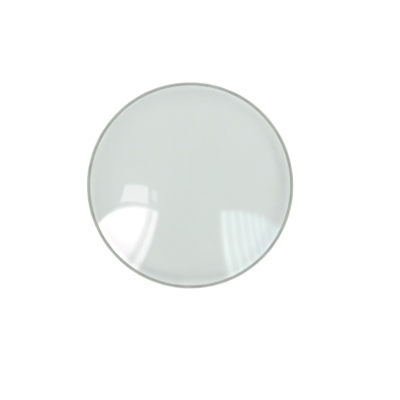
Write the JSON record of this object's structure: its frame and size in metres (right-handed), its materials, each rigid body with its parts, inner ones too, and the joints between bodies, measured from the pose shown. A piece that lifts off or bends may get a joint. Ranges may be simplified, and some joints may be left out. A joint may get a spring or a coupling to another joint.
{
  "type": "watch glass",
  "caption": "Shallow round glass dish with a concentric spherical hollow, an even wall and a flat ground rim, for covering beakers and drying or weighing small samples.",
  "frame": {"origin": "lowest point of the convex underside, on the dish's axis", "axes": "+Z along the dish's axis, out of the hollow; X and Y are free, because the dish is a body of revolution"},
  "size_m": [0.1, 0.1, 0.012],
  "materials": {
    "glass": "clear pressed soda-lime glass with a faint grey-green tint, fire-polished faces and a fine-ground satin rim"
  },
  "bodies": {
    "root": {"watch_glass": "glass"}
  },
  "joints": []
}
